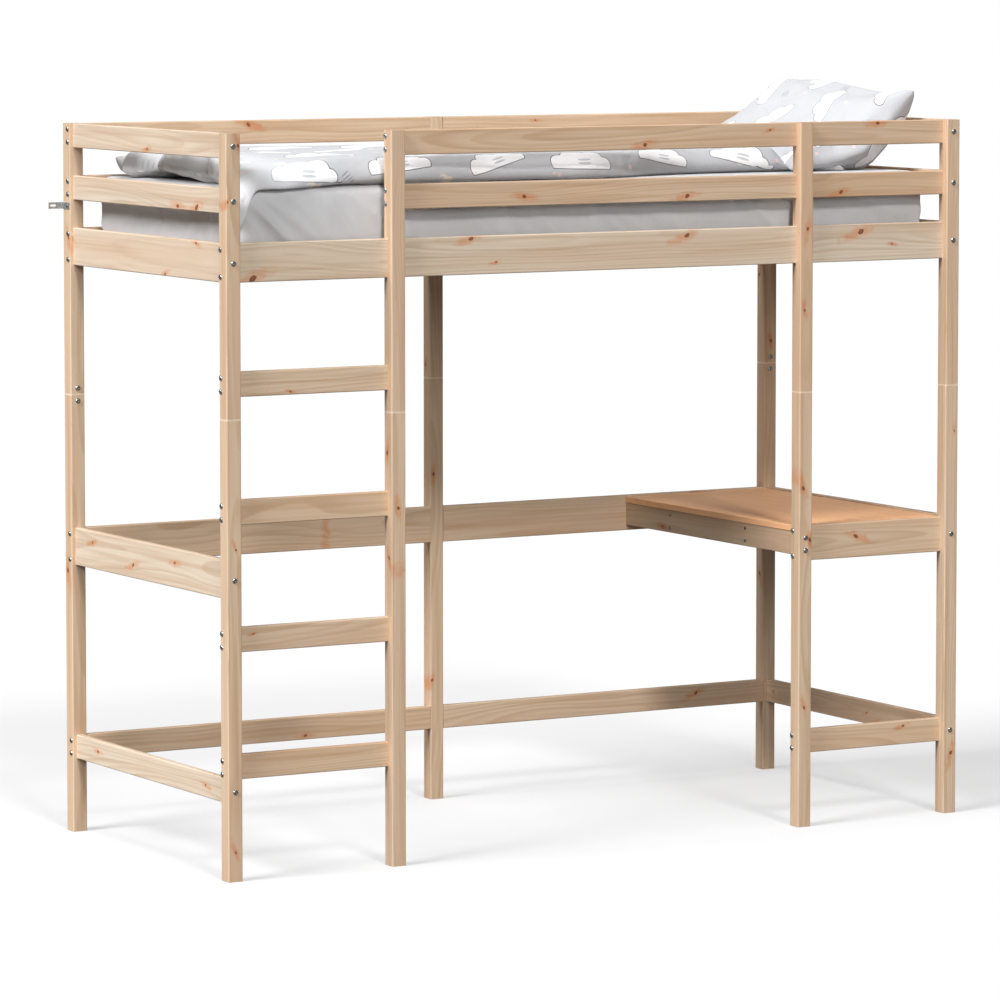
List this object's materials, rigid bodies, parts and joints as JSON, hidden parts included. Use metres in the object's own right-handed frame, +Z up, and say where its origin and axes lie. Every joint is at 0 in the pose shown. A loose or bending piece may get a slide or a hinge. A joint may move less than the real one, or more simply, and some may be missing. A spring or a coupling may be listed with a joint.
{
  "type": "loft bed with desk",
  "caption": "High single bed on square pine posts, with ladder rungs at one end of the front, a desk under the other end, guard rails, slats, mattress, duvet and pillow.",
  "frame": {"origin": "on the floor under the middle of the whole bed's outer box, bolt heads and wall bracket included", "axes": "+Z up, +X along the bed from the ladder end to the desk end, +Y from the ladder side to the wall side"},
  "size_m": [2.1214, 0.8918, 1.858],
  "materials": {
    "pine_post": "clear-varnished pine",
    "pine_rail": "clear-varnished pine",
    "pine_inner": "raw pine",
    "pine_slat": "raw pine",
    "pine_desk_top": "clear-varnished edge-glued pine",
    "zinc_steel": "zinc-plated",
    "bracket_steel": "zinc-plated",
    "mattress_cloth": "woven cotton over foam",
    "duvet_cloth": "printed cotton",
    "pillow_cloth": "printed cotton"
  },
  "bodies": {
    "root": {"back_left_bed_rail": "pine_rail", "back_left_bottom_rail": "pine_rail", "back_left_lower_guard": "pine_rail", "back_left_middle_rail": "pine_rail", "back_left_top_guard": "pine_rail", "back_right_bed_rail": "pine_rail", "back_right_bottom_rail": "pine_rail", "back_right_lower_guard": "pine_rail", "back_right_middle_rail": "pine_rail", "back_right_top_guard": "pine_rail", "barrel_nuts": "zinc_steel", "bed_slats": "pine_slat", "desk_battens": "pine_rail", "desk_bed_rail": "pine_rail", "desk_board": "pine_desk_top", "desk_bottom_rail": "pine_rail", "desk_front_rail": "pine_rail", "desk_lower_guard": "pine_rail", "desk_side_rail": "pine_rail", "desk_top_guard": "pine_rail", "duvet": "duvet_cloth", "frame_bolts": "zinc_steel", "front_bed_rail": "pine_rail", "front_lower_guard": "pine_rail", "front_top_guard": "pine_rail", "ladder_bed_rail": "pine_rail", "ladder_rung_1": "pine_rail", "ladder_rung_2": "pine_rail", "ladder_rung_3": "pine_rail", "ladder_rung_4": "pine_rail", "left_end_bed_rail": "pine_rail", "left_end_bottom_rail": "pine_rail", "left_end_lower_guard": "pine_rail", "left_end_middle_rail": "pine_rail", "left_end_top_guard": "pine_rail", "mattress": "mattress_cloth", "pillow": "pillow_cloth", "post_back_left_lower": "pine_post", "post_back_left_upper": "pine_post", "post_back_middle_lower": "pine_post", "post_back_middle_upper": "pine_post", "post_back_right_lower": "pine_post", "post_back_right_upper": "pine_post", "post_desk_lower": "pine_post", "post_desk_upper": "pine_post", "post_front_left_lower": "pine_post", "post_front_left_upper": "pine_post", "post_front_right_lower": "pine_post", "post_front_right_upper": "pine_post", "post_ladder_lower": "pine_post", "post_ladder_upper": "pine_post", "post_tenons": "pine_inner", "right_end_bed_rail": "pine_rail", "right_end_bottom_rail": "pine_rail", "right_end_lower_guard": "pine_rail", "right_end_middle_rail": "pine_rail", "right_end_top_guard": "pine_rail", "slat_ledgers": "pine_slat", "wall_bracket": "bracket_steel", "wood_screws": "zinc_steel"}
  },
  "joints": []
}
